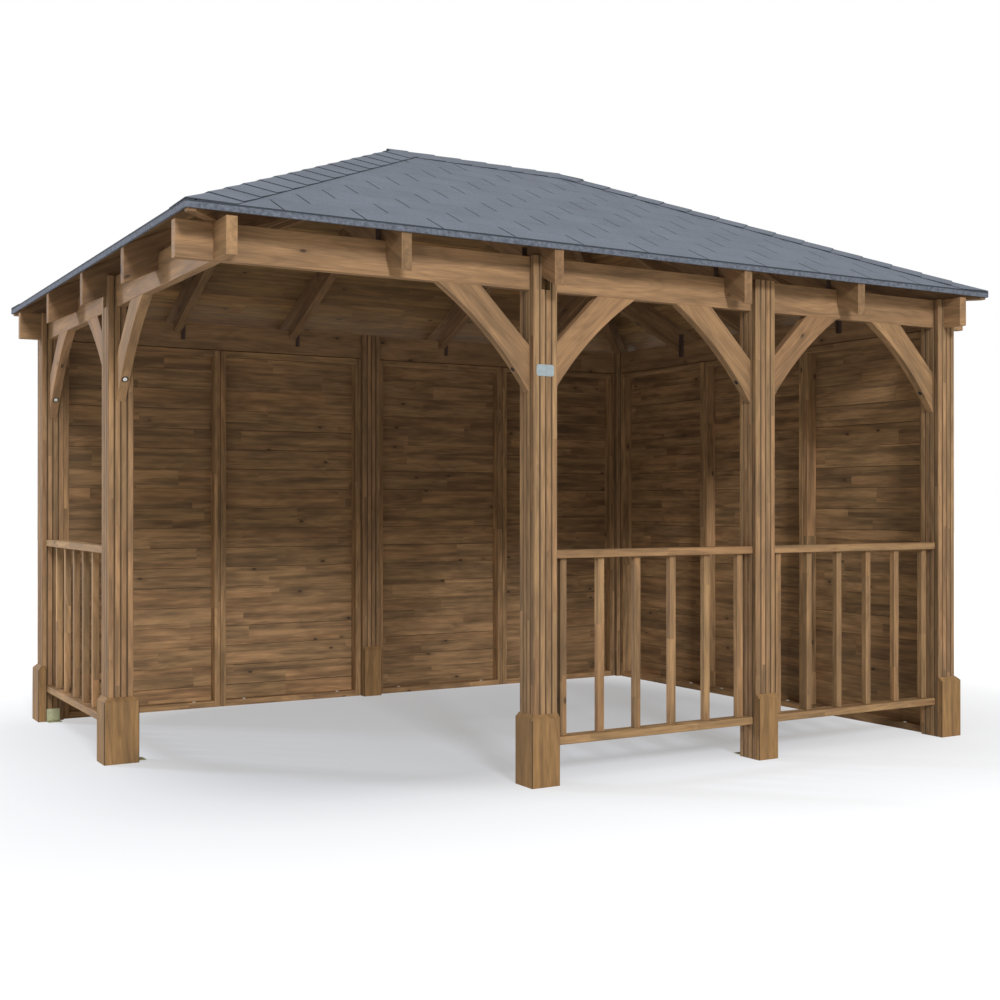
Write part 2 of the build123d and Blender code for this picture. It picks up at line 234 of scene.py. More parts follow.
def long_axis(points):
    """Direction in which a solid's points are spread the widest. Each step turns towards it."""
    centre = sum(points, Vector()) / len(points)
    axis = Vector((1, 1, 0.3)).normalized()
    for _ in range(AXIS_STEPS):
        total = Vector()
        for p in points:
            d = p - centre
            total += d * d.dot(axis)
        axis = total.normalized()
    return axis


def copy_of(group):
    """New mesh with the points and the faces of one solid."""
    bm = bmesh.new()
    copies = {vert: bm.verts.new(vert.co) for vert in group}
    done = set()
    for vert in group:
        for face in vert.link_faces:
            if face not in done:
                done.add(face)
                bm.faces.new([copies[v] for v in face.verts])
    return bm


def cut_corners(bm, width):
    """Cuts back a solid's long upright outer corners."""
    upright = []
    for edge in bm.edges:
        length = edge.calc_length()
        rise = abs(edge.verts[0].co.z - edge.verts[1].co.z)
        if edge.is_convex and length > 0.2 and rise > 0.99 * length and edge.calc_face_angle() > 1:
            upright.append(edge)
    bmesh.ops.bevel(bm, geom=upright, offset=width, segments=1, affect="EDGES")


def from_node(node, material, slot, axis=None, bevel=0.002, faces=None, centre=None, corners=0,
              tones=MIDDLE):
    """Timber with the shape of a CAD node: each of its solids gets its own grain and tone.

    axis is the way of the grain, and centre where it starts, where these aren't the solid's own
    length and middle. faces, where it is given, returns the tone and the seed of a face. corners
    is how far the upright outer corners alone are cut back. tones is the range of the solids' tones.
    """
    source = bmesh.new()
    source.from_mesh(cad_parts[node].data)
    bmesh.ops.remove_doubles(source, verts=source.verts, dist=WELD)
    bmesh.ops.dissolve_limit(source, angle_limit=math.radians(1), verts=source.verts, edges=source.edges)
    source.verts.index_update()
    piece = Piece()
    for group in islands(source):
        bm = copy_of(group)
        points = [vert.co.copy() for vert in bm.verts]
        along = axis or long_axis(points)
        side = along.cross(UP)
        side = side.normalized() if side.length > 0.1 else RIGHT
        up = side.cross(along).normalized()
        axes = (along, up, side)
        middle = centre or sum(points, Vector()) / len(points)
        bm.normal_update()
        if corners:
            cut_corners(bm, corners)
        if bevel:
            soften(bm, bevel)
        bm.normal_update()
        tone = (lambda face: faces(face)[0]) if faces else rng.uniform(*tones)
        seed = (lambda face: faces(face)[1]) if faces else new_seed()
        piece.add(bm, Vector.copy, tone, seed,
                  local=lambda p: Vector([(p - middle).dot(way) for way in axes]))
    source.free()
    piece.build(f"{node}_timber", [material], slot, [node])


# Materials


class Nodes:
    """Writes a node tree. The values it is given are numbers, colours or other sockets."""

    def __init__(self, tree):
        self.tree = tree

    def node(self, kind, **settings):
        """A new node with its settings."""
        made = self.tree.nodes.new(kind)
        for key, value in settings.items():
            setattr(made, key, value)
        return made

    def feed(self, socket, value):
        """Links a socket to another one, or sets it to a value. None leaves it as it is."""
        if isinstance(value, bpy.types.NodeSocket):
            self.tree.links.new(value, socket)
        elif isinstance(value, (int, float)) and socket.type == "VECTOR":
            socket.default_value = (value, value, value)
        elif value is not None:
            socket.default_value = value

    def attribute(self, name, output="Fac"):
        """What the mesh's attribute of that name says."""
        return self.node("ShaderNodeAttribute", attribute_name=name).outputs[output]

    def math(self, operation, a, b=None, c=None):
        """An operation on numbers."""
        made = self.node("ShaderNodeMath", operation=operation)
        for socket, value in zip(made.inputs, (a, b, c)):
            self.feed(socket, value)
        return made.outputs[0]

    def vector(self, operation, a, b=None, c=None):
        """An operation on vectors."""
        made = self.node("ShaderNodeVectorMath", operation=operation)
        for socket, value in zip(made.inputs, (a, b, c)):
            self.feed(socket, value)
        return made.outputs["Value" if operation == "LENGTH" else "Vector"]

    def noise(self, vector, scale, offset, detail=3.0, rough=0.5, distortion=0.0):
        """Noise with a scale for each axis. Each offset gives another stretch of it."""
        made = self.node("ShaderNodeTexNoise", noise_dimensions="3D")
        self.feed(made.inputs["Vector"], self.vector("MULTIPLY_ADD", vector, scale, offset))
        made.inputs["Scale"].default_value = 1.0
        made.inputs["Detail"].default_value = detail
        made.inputs["Roughness"].default_value = rough
        made.inputs["Distortion"].default_value = distortion
        return made.outputs["Fac"]

    def chance(self, *numbers):
        """A random value and colour that stay the same for the same numbers."""
        joined = self.node("ShaderNodeCombineXYZ")
        for socket, number in zip(joined.inputs, numbers):
            self.feed(socket, number)
        made = self.node("ShaderNodeTexWhiteNoise", noise_dimensions="3D")
        self.feed(made.inputs["Vector"], joined.outputs[0])
        return made.outputs["Value"], made.outputs["Color"]

    def product(self, *factors):
        """All the factors multiplied together."""
        total = factors[0]
        for factor in factors[1:]:
            total = self.math("MULTIPLY", total, factor)
        return total

    def ramp(self, factor, stops):
        """Colours by a factor. The stops are in rising order."""
        made = self.node("ShaderNodeValToRGB")
        self.feed(made.inputs[0], factor)
        ramp = made.color_ramp
        while len(ramp.elements) < len(stops):
            ramp.elements.new(0.5)
        for element, (position, colour) in zip(ramp.elements, stops):
            element.position = position
            element.color = (*colour, 1) if len(colour) == 3 else colour
        return made.outputs[0]

    def mix(self, factor, a, b, blend="MIX"):
        """Two colours mixed."""
        made = self.node("ShaderNodeMix", data_type="RGBA", blend_type=blend)
        self.feed(made.inputs["Factor"], factor)
        self.feed(made.inputs["A"], a)
        self.feed(made.inputs["B"], b)
        return made.outputs["Result"]

    def spread(self, value, low, high, to_low, to_high):
        """A value between low and high, as one between to_low and to_high."""
        made = self.node("ShaderNodeMapRange")
        self.feed(made.inputs["Value"], value)
        ends = {"From Min": low, "From Max": high, "To Min": to_low, "To Max": to_high}
        for key, number in ends.items():
            made.inputs[key].default_value = number
        return made.outputs["Result"]

    def seen(self):
        """1 for rays from the camera and for reflections of the background."""
        rays = self.node("ShaderNodeLightPath").outputs
        direct = self.math("MAXIMUM", rays["Is Camera Ray"], rays["Is Glossy Ray"])
        return self.math("MAXIMUM", direct, rays["Is Transmission Ray"])


class Shader(Nodes):
    """The node tree of a new material."""

    def __init__(self, name):
        self.material = bpy.data.materials.new(name)
        self.material.use_nodes = True
        super().__init__(self.material.node_tree)
        self.tree.nodes.clear()
        out = self.node("ShaderNodeOutputMaterial")
        self.bsdf = self.node("ShaderNodeBsdfPrincipled")
        self.tree.links.new(self.bsdf.outputs[0], out.inputs["Surface"])

    def bump(self, height, strength, distance):
        """Relief of the whole surface."""
        made = self.node("ShaderNodeBump")
        made.inputs["Strength"].default_value = strength
        made.inputs["Distance"].default_value = distance
        self.feed(made.inputs["Height"], height)
        self.tree.links.new(made.outputs[0], self.bsdf.inputs["Normal"])


def times(colour, factor):
    """A colour made lighter or darker, with its alpha."""
    return tuple(min(1.0, c * factor) for c in colour) + (1,)


def timber(name, colour, contrast, knots, stave, patch, groove_shade=False):
    """Stained softwood: jointed staves with their own tone, figure along the grain, rings and knots.

    contrast is that of the figure, knots the share of their full darkness, stave the length and
    height of the staves and patch how much they differ. groove_shade is for a post: its grooves get
    painted shade, darkest at their bottom.
    """
    s = Shader(name)
    grain = s.attribute("grain", "Vector")
    seed = s.attribute("seed")
    tone = s.attribute("tone")
    axes = s.node("ShaderNodeSeparateXYZ")
    s.feed(axes.inputs[0], grain)
    x, y, z = axes.outputs

    # Staves, in rows that wander a little and start at a random place
    wander = s.noise(grain, (1.1, 7, 7), seed, detail=2)
    bent = s.math("MULTIPLY_ADD", wander, 0.02, y)
    row = s.math("FLOOR", s.math("MULTIPLY_ADD", bent, 1 / stave[1], seed))
    shift = s.math("MULTIPLY", s.chance(row, seed)[0], 9.0)
    column = s.math("FLOOR", s.math("MULTIPLY_ADD", x, 1 / stave[0], shift))
    cell, hue = s.chance(row, column, seed)
    own = s.math("MULTIPLY_ADD", cell, 23.0, seed)

    figure = s.noise(grain, (1.9, 30, 30), own, detail=4, rough=0.6, distortion=0.3)
    cloud = s.noise(grain, (3.2, 13, 13), own, detail=2, rough=0.6)
    fibre = s.noise(grain, (12, 380, 380), seed, detail=1)
    bands = s.math("FRACT", s.math("MULTIPLY", wander, 13.0))
    rings = s.math("ABSOLUTE", s.math("SUBTRACT", bands, 0.5))

    # Knots with a halo, in some of the cells
    place = s.node("ShaderNodeCombineXYZ")
    s.feed(place.inputs[0], s.math("MULTIPLY_ADD", x, 4.0, seed))
    s.feed(place.inputs[1], s.math("MULTIPLY_ADD", s.math("ADD", y, z), 8.5, seed))
    cells = s.node("ShaderNodeTexVoronoi", voronoi_dimensions="2D", feature="F1")
    s.feed(cells.inputs["Vector"], place.outputs[0])
    cells.inputs["Scale"].default_value = 1.0
    there = s.spread(cells.outputs["Color"], 0.76, 0.80, 0.0, knots)
    knot = s.math("MULTIPLY", s.spread(cells.outputs["Distance"], 0.035, 0.075, 1.0, 0.0), there)
    halo = s.math("MULTIPLY", s.spread(cells.outputs["Distance"], 0.06, 0.24, 1.0, 0.0), there)

    # The figure's colour, each stave's own hue and all that makes the wood darker or lighter
    stops = ((0.30, -0.40), (0.43, -0.17), (0.56, 0.13), (0.72, 0.40))
    wood = s.ramp(figure, [(at, times(colour, 1 + level * contrast)) for at, level in stops])
    tints = ((0.25, (0.08, -0.03, -0.10)), (0.5, (0, 0, 0)), (0.75, (-0.04, 0.0, -0.06)))
    tint = s.ramp(hue, [(at, tuple(1 + patch * c for c in lift)) for at, lift in tints])
    wood = s.mix(1.0, wood, tint, "MULTIPLY")
    shade = s.product(
        s.spread(cell, 0.0, 1.0, 1 - 0.17 * patch, 1 + 0.16 * patch),
        s.spread(cloud, 0.3, 0.7, 1 - 0.30 * contrast, 1 + 0.26 * contrast),
        s.spread(tone, 0.0, 1.0, 0.74, 1.22),
        s.spread(rings, 0.0, 0.3, 0.87, 1.02),
        s.spread(fibre, 0.3, 0.7, 0.84, 1.12),
        s.spread(halo, 0.0, 1.0, 1.0, 0.78),
    )
    wood = s.mix(1.0, wood, shade, "MULTIPLY")
    wood = s.mix(knot, wood, times(colour, 0.16))
    # Eased edges are painted paler: wear, and a painted highlight where they catch the light
    wood = s.mix(s.math("MULTIPLY", s.attribute("edge"), 0.4), wood, times(colour, 1.5))

    # Joints are dark. A post's grooves get painted shade, darkest at their bottom
    joint_dark_and_groove_shade = s.math("LESS_THAN", tone, DARK / 2)
    if groove_shade:
        reach = s.math("MAXIMUM", s.math("ABSOLUTE", y), s.math("ABSOLUTE", z))
        joint_dark_and_groove_shade = s.math("MULTIPLY", joint_dark_and_groove_shade, s.spread(reach, 0.0570, 0.0590, 1.0, 0.25))
    wood = s.mix(s.math("MULTIPLY", joint_dark_and_groove_shade, 0.5 if groove_shade else 0.85), wood, times(colour, 0.12))
    s.feed(s.bsdf.inputs["Base Color"], wood)
    s.feed(s.bsdf.inputs["Roughness"], s.spread(figure, 0.3, 0.7, 0.62, 0.82))
    s.bsdf.inputs["Specular IOR Level"].default_value = 0.3
    s.bump(fibre, 0.35, 0.0012)
    return s.material


def shingle(name, colour, cloud=(4, 4, 4), depth=0.1):
    """Mineral granules on a bitumen sheet: fine speckle, soft clouds, a tone for each tab."""
    s = Shader(name)
    grain = s.attribute("grain", "Vector")
    speck = s.noise(grain, (260, 260, 260), 0.0, detail=2, rough=0.7)
    clouds = s.noise(grain, cloud, 3.0, detail=3)
    base = s.mix(s.spread(speck, 0.3, 0.7, 0, 1), times(colour, 0.72), times(colour, 1.26))
    shade = s.product(s.spread(clouds, 0.35, 0.7, 1.0 + depth / 3, 1.0 - depth),
                      s.spread(s.attribute("tone"), 0.0, 1.0, 0.98, 1.02))
    s.feed(s.bsdf.inputs["Base Color"], s.mix(1.0, base, shade, "MULTIPLY"))
    s.bsdf.inputs["Roughness"].default_value = 0.9
    s.bsdf.inputs["Specular IOR Level"].default_value = 0.25
    s.bump(speck, 0.5, 0.001)
    return s.material


def steel(name, colour, rough, metallic):
    """Plated steel with faint spangle and handling marks."""
    s = Shader(name)
    mark = s.noise(s.attribute("grain", "Vector"), (60, 60, 60), 1.0, detail=3)
    tint = s.mix(s.spread(mark, 0.3, 0.7, 0, 1), times(colour, 0.85), times(colour, 1.1))
    s.feed(s.bsdf.inputs["Base Color"], tint)
    s.bsdf.inputs["Metallic"].default_value = metallic
    s.feed(s.bsdf.inputs["Roughness"], s.spread(mark, 0.3, 0.7, rough, rough + 0.2))
    s.bump(mark, 0.1, 0.0005)
    return s.material


POST_WOOD = timber("post_wood", (0.277, 0.164, 0.080), 0.8, 0.3, (0.75, 10.0), 0.45, groove_shade=True)
PLINTH_WOOD = timber("plinth_wood", (0.264, 0.149, 0.059), 0.6, 0.5, (9.0, 0.4), 0.0)
FRAME_WOOD = timber("frame_wood", (0.266, 0.154, 0.074), 0.65, 0.9, (9.0, 10.0), 0.35)
PANEL_WOOD = timber("panel_wood", (0.272, 0.159, 0.074), 1.0, 0.9, (0.8, 0.085), 0.36)
RAIL_WOOD = timber("rail_wood", (0.284, 0.168, 0.079), 0.7, 0.8, (0.6, 0.05), 0.5)
ROOF_WOOD = timber("roof_board_wood", (0.222, 0.128, 0.052), 0.8, 0.9, (0.7, 0.085), 0.6)
SLATE = shingle("slate_shingle", (0.170, 0.193, 0.240))
SLATE_DARK_AND_SHADE = shingle("shingle_edge_and_shade", (0.050, 0.057, 0.070))
BAND = shingle("eaves_band", (0.130, 0.146, 0.178), (70, 70, 70), 0.4)
ZINC = steel("zinc", (0.44, 0.44, 0.27), 0.4, 0.5)
BRIGHT = steel("bright_zinc", (0.74, 0.72, 0.64), 0.3, 0.4)
IRON = steel("dark_fixing", (0.085, 0.052, 0.038), 0.55, 0.2)
PLATE = steel("pale_plate", (0.29, 0.345, 0.36), 0.4, 0.1)
RECESS_SHADE = steel("bolt_recess_shade", (0.014, 0.010, 0.008), 0.8, 0.0)


# Posts

# Distance between two grooves
STRIP = 0.03
# Tones of the four strips between the grooves: a front face's by x, and a left one's by y
FRONT_TONES = (0.58, 0.80, 0.42, 0.58)
LEFT_TONES = (0.0, 0.45, 0.35, 0.60)
# How far a strip's tone may be from those
STRIP_VARIES = 0.12
# Slanted faces that are nearer to the outside of a post than this are its corners, not grooves
CORNER = 0.01


def post_strips(x, y):
    """Tone and seed of each strip between a post's grooves. The grooves get the dark tone, which paints
    the shade in them.
    """
    picked = {}

    def pick(face):
        n = face.normal
        c = face.calc_center_median() - Vector((x, y, 0))
        diagonal = abs(abs(n.x) - abs(n.y)) < 0.3 and abs(n.z) < 0.5
        # Groove faces get the dark tone: painted shade in the grooves
        if diagonal and min(abs(c.x), abs(c.y)) < POST / 2 - CORNER:
            return DARK, 1.0
        facing = (round(n.x), round(n.y))
        strip = math.floor((c.y if abs(n.x) > abs(n.y) else c.x) / STRIP + 1e-3)
        key = (facing, strip)
        if key not in picked:
            usual = {(0, -1): FRONT_TONES, (-1, 0): LEFT_TONES}.get(facing)
            if usual:
                tone = usual[min(3, max(0, strip + 2))] + rng.uniform(-STRIP_VARIES, STRIP_VARIES)
            else:
                tone = rng.uniform(*MIDDLE)
            picked[key] = (tone, new_seed())
        return picked[key]

    return pick


POSTS = {
    "post_front_inner_left": (POST_C_X, -POST_Y),
    "post_front_inner_right": (POST_D_X, -POST_Y),
    "post_front_right": (POST_X, -POST_Y),
    "post_left_middle": (-POST_X, 0),
    "post_back_left": (-POST_X, POST_Y),
    "post_back_middle": (0, POST_Y),
    "post_back_right": (POST_X, POST_Y),
}
for node, (x, y) in POSTS.items():
    from_node(node, POST_WOOD, "post_timber", axis=UP, bevel=0, faces=post_strips(x, y),
              centre=Vector((x, y, BEAM_TOP / 2)))


def plinth_boards(face):
    """Tone and seed of a plinth's boards, by the way they face, with a dark joint at each corner."""
    n = face.normal
    if abs(n.z) < 0.3 and abs(n.x) > 0.3 and abs(n.y) > 0.3:
        return DARK, 1.0
    side = abs(n.x) > abs(n.y)
    return (0.35, 7.3) if side else (0.55, 21.9)


from_node("post_plinths", PLINTH_WOOD, "post_timber", axis=UP, bevel=0, faces=plinth_boards,
          corners=0.003)


# Beams, rafters, braces

LIGHTER = (0.5, 0.75)
DARKER = (0.0, 0.25)
for node in ("front_beam", "back_beam"):
    from_node(node, FRAME_WOOD, "frame_timber", axis=RIGHT, tones=LIGHTER)
for node in ("left_beam", "right_beam"):
    from_node(node, FRAME_WOOD, "frame_timber", axis=AWAY, tones=LIGHTER)
for node in ("front_braces", "left_braces"):
    from_node(node, FRAME_WOOD, "frame_timber", tones=LIGHTER)
for node in ("front_rafters", "back_rafters", "left_rafters", "right_rafters", "ridge_board",
             "hip_rafters_front", "hip_rafters_back"):
    from_node(node, FRAME_WOOD, "frame_timber", tones=DARKER)


# Wall panels

BOARDS = 18
PANEL_W = 0.92
PANEL_X = (POST + PANEL_W) / 2
BACK_PANELS_X = (-PANEL_X - PANEL_W, -PANEL_X, PANEL_X, PANEL_X + PANEL_W)
RIGHT_PANELS_Y = (PANEL_W, 0, -PANEL_W)
WALL_X = POST_X + POST / 2
WALL_Y = POST_Y + POST / 2
CLAD_T = 0.02
FRAME_T = 0.07
FRAME_W = 0.035
LAP = 0.0004
STILE_GAP = 0.0015
HEAD_GAP = 0.004
PANEL_EASE = 0.002
STILE_TONES = (0.6, 1.0)
# The share of the joints that are dark, and how much darker than their board the others are
DARK_JOINTS = 0.25
PALE_JOINT = 0.3


def board_tone(tone, joint):
    """Tone of a board whose eased edges are the joints to the next ones."""
    return lambda face: joint if 0.3 < abs(face.normal.y) < 0.95 else tone


def wall_panel(node, x, y, inward):
    """Eighteen matched boards on a frame. The point is the outer face's middle at the ground."""
    piece = Piece()
    across = UP.cross(inward)
    pitch = BEAM_BOTTOM / BOARDS
    base = Vector((x, y, 0))
    for n in range(BOARDS):
        lap = LAP if n < BOARDS - 1 else 0
        centre = base + inward * (CLAD_T / 2) + UP * (pitch * (n + 0.5) + lap / 2)
        tone = rng.uniform(*MIDDLE)
        joint = DARK if rng.random() < DARK_JOINTS else tone - PALE_JOINT
        plank(piece, centre, across, UP, (PANEL_W - LAP, pitch + lap, CLAD_T), board_tone(tone, joint),
              new_seed(), PANEL_EASE, worn=False)
    depth = inward * (CLAD_T + FRAME_T / 2)
    top = BEAM_BOTTOM - HEAD_GAP
    for side in (-1, 1):
        reach = side * (PANEL_W - FRAME_W - STILE_GAP) / 2
        plank(piece, base + depth + across * reach + UP * (top / 2), UP, across,
              (top, FRAME_W - STILE_GAP, FRAME_T), rng.uniform(*STILE_TONES), new_seed(),
              PANEL_EASE)
    for z in (FRAME_W / 2, top - FRAME_W / 2):
        plank(piece, base + depth + UP * z, across, UP, (PANEL_W - 2 * FRAME_W, FRAME_W, FRAME_T),
              rng.uniform(*STILE_TONES), new_seed(), PANEL_EASE)
    piece.build(f"{node}_timber", [PANEL_WOOD], "panel_timber", [node])


for n, x in enumerate(BACK_PANELS_X):
    wall_panel(f"back_wall_panel_{n + 1}", x, WALL_Y, -AWAY)
for n, y in enumerate(RIGHT_PANELS_Y):
    wall_panel(f"right_wall_panel_{n + 1}", WALL_X, y, -RIGHT)


# Balustrades

RAIL_D = 0.075
RAIL_H = 0.035
HAND_RAIL_TOP = 1.012
LOW_RAIL_BOTTOM = 0.165
BALUSTER = 0.032
BALUSTERS = 6
BALUSTER_PITCH = 0.2
RAIL_EASE = 0.003
BALUSTER_EASE = 0.002
RAIL_TONES = (0.4, 0.9)
BALUSTER_TONES = (0.1, 1.0)
FRONT_BAY = POST_D_X - POST_C_X - POST
LEFT_BAY = POST_Y - POST


def balustrade(node, start, along, length):
    """Two rails with square balusters between them, from the face of a post on."""
    piece = Piece()
    first = (length - (BALUSTERS - 1) * BALUSTER_PITCH) / 2
    low = LOW_RAIL_BOTTOM + RAIL_H
    high = HAND_RAIL_TOP - RAIL_H
    for z in (low - RAIL_H / 2, high + RAIL_H / 2):
        plank(piece, start + along * (length / 2) + UP * z, along, UP, (length, RAIL_H, RAIL_D),
              rng.uniform(*RAIL_TONES), new_seed(), RAIL_EASE)
    for n in range(BALUSTERS):
        centre = start + along * (first + BALUSTER_PITCH * n) + UP * ((low + high) / 2)
        plank(piece, centre, UP, along, (high - low, BALUSTER, BALUSTER),
              rng.uniform(*BALUSTER_TONES), new_seed(), BALUSTER_EASE)
    piece.build(f"{node}_timber", [RAIL_WOOD], "rail_timber", [node])


balustrade("balustrade_front_1", Vector((POST_C_X + POST / 2, -POST_Y, 0)), RIGHT, FRONT_BAY)
balustrade("balustrade_front_2", Vector((POST_D_X + POST / 2, -POST_Y, 0)), RIGHT, FRONT_BAY)
balustrade("balustrade_left", Vector((-POST_X, POST / 2, 0)), AWAY, LEFT_BAY)


# Roof covering

# For each side: the middle of its eaves, the ways along it and in, and half its top edge
SLOPES = {
    "front": (Vector((0, -TAIL_Y, 0)), RIGHT, AWAY, RIDGE_X),
    "back": (Vector((0, TAIL_Y, 0)), -RIGHT, -AWAY, RIDGE_X),
    "left": (Vector((-TAIL_X, 0, 0)), -AWAY, RIGHT, 0.0),
    "right": (Vector((TAIL_X, 0, 0)), AWAY, -RIGHT, 0.0),
}
# Wider to each side than any slope
WIDE = 3
# Cut pieces smaller than this are left out, in square metres
MIN_AREA = 1e-4


class Slope:
    """One plane of the roof: u runs along its eaves, v up it and w out of it.

    base is its height at the rafters' ends, and grow how far it runs on past them.
    """

    def __init__(self, side, base, grow=0.0):
        start, self.u, inward, top = SLOPES[side]
        run = TAIL_Y + grow
        self.origin = start + UP * base - inward * grow - UP * (grow * RISE)
        self.v = inward * COS + UP * SIN
        self.w = UP * COS - inward * SIN
        self.height = run / COS
        self.half = run + top

    def point(self, u, v, w=0.0):
        """Where a point of the slope lies. w is its height above the plane, laid off upright."""
        return self.origin + self.u * u + self.v * v + UP * (w / COS)

    def place(self, p):
        """The same, for a vector of u, v and w."""
        return self.point(p.x, p.y, p.z)

    def trim(self, outline):
        """Cuts an outline off at both hips and at the ridge."""
        for sign in (-1, 1):
            outline = clip(outline, sign, COS, self.half)
        return clip(outline, 0, 1, self.height)

    def strip(self, low, high):
        """Outline of all that lies between two heights up the slope."""
        return self.trim([(-WIDE, low), (WIDE, low), (WIDE, high), (-WIDE, high)])


SOFFIT_PITCH = 0.118
SOFFIT_GAP = 0.0005
SOFFIT_EASE = 0.0025


def roof_boards(side):
    """Boards along the eaves, cut to the hips."""
    slope = Slope(side, RAFTER_TOP)
    piece = Piece()
    for n in range(math.ceil(slope.height / SOFFIT_PITCH)):
        outline = slope.strip(n * SOFFIT_PITCH, (n + 1) * SOFFIT_PITCH - SOFFIT_GAP)
        if area(outline) < MIN_AREA:
            continue
        bm = slab(outline, BOARD_T)
        soften(bm, SOFFIT_EASE)
        piece.add(bm, slope.place, rng.uniform(0, 1), new_seed())
    piece.build(f"roof_boards_{side}_timber", [ROOF_WOOD], "roof_board_timber", [f"roof_boards_{side}"])


COURSE = 0.1625
TAB = 0.3395
SLIT = 0.0085
SHEET = 0.0014
TILE = 0.006
UNDERLAY = 0.0038
COURSE_LAP = 0.012
# Where a tab starts in even and in odd courses, and how many are tried to each side of it
COURSE_SHIFTS = (-0.403, -0.235)
TABS = 8


def dark_sides(face):
    """Slot 1 for a sheet's cut edges, 0 for its faces. The dark edges are bitumen, and also paint the
    thin shadow line under each edge.
    """
    return 1 if abs(face.normal.z) < 0.5 else 0


def build_shingles(piece, node):
    """Makes a piece of the covering in the place of a node."""
    piece.build(f"{node}_shingles", [SLATE, SLATE_DARK_AND_SHADE], "slate_tile", [node])


def shingles(side):
    """Courses of slit shingles: each tab is a thin wedge that laps the course below."""
    slope = Slope(side, TILE_BOTTOM, EDGE)
    piece = Piece()
    # The underlay is a dark sheet: seen down the slits, it paints the shade in them
    piece.add(slab(slope.strip(0, slope.height), UNDERLAY), slope.place, slot=1)
    drop = (TILE - SHEET - UNDERLAY) / COURSE
    for row in range(math.ceil(slope.height / COURSE)):
        v0 = row * COURSE
        v1 = v0 + COURSE + COURSE_LAP
        for n in range(-TABS, TABS + 1):
            u0 = COURSE_SHIFTS[row % 2] + n * TAB + SLIT / 2
            u1 = u0 + TAB - SLIT
            outline = slope.trim([(u0, v0), (u1, v0), (u1, v1), (u0, v1)])
            if area(outline) < MIN_AREA:
                continue
            high = [TILE - (v - v0) * drop for u, v in outline]
            bm = prism(outline, [h - SHEET for h in high], high)
            bm.normal_update()
            # Only the eaves course gets dark edges, which paint the shadow line along the eaves
            piece.add(bm, slope.place, rng.uniform(0, 1), new_seed(), dark_sides if row == 0 else 0)
    build_shingles(piece, f"roof_tiles_{side}")


CAP_STEP = 0.1595
CAP_WIDE = 0.147
CAP_HIGH = 0.012
CAP_LOW = 0.0085
CAP_SHEET = 0.003
CAP_LAP = 0.02
FIRST_CAP = 0.19
RIDGE_LAP = 0.035


def cap_starts(first, run):
    """Where the sheets from the first one on start along a run."""
    count = math.ceil((run - CAP_LAP - first) / CAP_STEP)
    return [first + CAP_STEP * n for n in range(count)]


def cap_run(piece, sides, low, high, starts):
    """Bent cap sheets that lap each other up a hip or along the ridge."""
    run = (high - low).length
    along = (high - low) / run
    for side in sides:
        slope = Slope(side, TILE_BOTTOM, EDGE)
        into = slope.w.cross(along)
        middle = slope.point(0, slope.height / 2)
        if into.dot(middle - (low + high) / 2) < 0:
            into = -into
        into.normalize()
        for a0, following in zip(starts, starts[1:] + [run]):
            near = low + along * a0
            far = low + along * min(run, following + CAP_LAP)
            sheet = (near, far, far + into * CAP_WIDE, near + into * CAP_WIDE)
            flat = [((p - slope.origin).dot(slope.u), (p - slope.origin).dot(slope.v)) for p in sheet]
            outline = clip(flat, 0, -1, 0)
            if not outline:
                continue
            if area(outline) < 0:
                outline.reverse()
            tops = []
            for u, v in outline:
                a = (slope.point(u, v) - low).dot(along)
                tops.append(CAP_HIGH - (CAP_HIGH - CAP_LOW) * (a - a0) / CAP_STEP)
            bm = prism(outline, [t - CAP_SHEET for t in tops], tops)
            bm.normal_update()
            piece.add(bm, slope.place, rng.uniform(0, 1), new_seed(), dark_sides)


def roof_corner(sx, sy):
    """Corner of the covering's underside."""
    return Vector((sx * (TAIL_X + EDGE), sy * (TAIL_Y + EDGE), TILE_BOTTOM - EDGE * RISE))


def ridge_end(sx):
    """End of the ridge on the covering's underside."""
    return Vector((sx * RIDGE_X, 0, TILE_BOTTOM + TAIL_Y * RISE))


def hip_caps(side, sy):
    """Caps up the two hips beside the front or the back slope."""
    piece = Piece()
    for sx, end in ((-1, "left"), (1, "right")):
        low = roof_corner(sx, sy)
        high = ridge_end(sx)
        starts = [0.0] + cap_starts(FIRST_CAP, (high - low).length)
        cap_run(piece, (side, end), low, high, starts)
    build_shingles(piece, f"hip_caps_{side}")


def ridge_caps():
    """Caps along the ridge, which run on past its left end."""
    piece = Piece()
    low = ridge_end(1)
    high = ridge_end(-1) - RIGHT * RIDGE_LAP
    cap_run(piece, ("front", "back"), low, high, cap_starts(0.0, (high - low).length))
    build_shingles(piece, "ridge_cap")


for side in SLOPES:
    roof_boards(side)
    shingles(side)
hip_caps("front", -1)
hip_caps("back", 1)
ridge_caps()
for node in ("eaves_trim_long", "eaves_trim_short"):
    from_node(node, BAND, "slate_tile", bevel=0.001)


# Fittings

from_node("post_brackets", ZINC, "zinc_steel", axis=UP, bevel=0.0006)

TURN_SIDES = 20


def turned(piece, centre, out, profile, slot=0):
    """Small turned fitting: the profile is a list of radius and height from the surface up."""
    across = out.orthogonal().normalized()
    other = out.cross(across)
    bm = bmesh.new()
    turns = [2 * math.pi * k / TURN_SIDES for k in range(TURN_SIDES)]
    loops = [[bm.verts.new((r * math.cos(t), r * math.sin(t), h)) for t in turns] for r, h in profile]
    for a, b in zip(loops, loops[1:]):
        for k in range(TURN_SIDES):
            after = (k + 1) % TURN_SIDES
            bm.faces.new((a[k], a[after], b[after], b[k]))
    bm.faces.new(list(reversed(loops[0])))
    bm.faces.new(loops[-1])
    piece.add(bm, lambda p: centre + across * p.x + other * p.y + out * p.z, slot=slot)


SCREW = ((0.010, 0.0), (0.010, 0.0016), (0.0080, 0.0040), (0.004, 0.0050))
SCREW_OUT = 0.305
SCREW_IN = 0.07


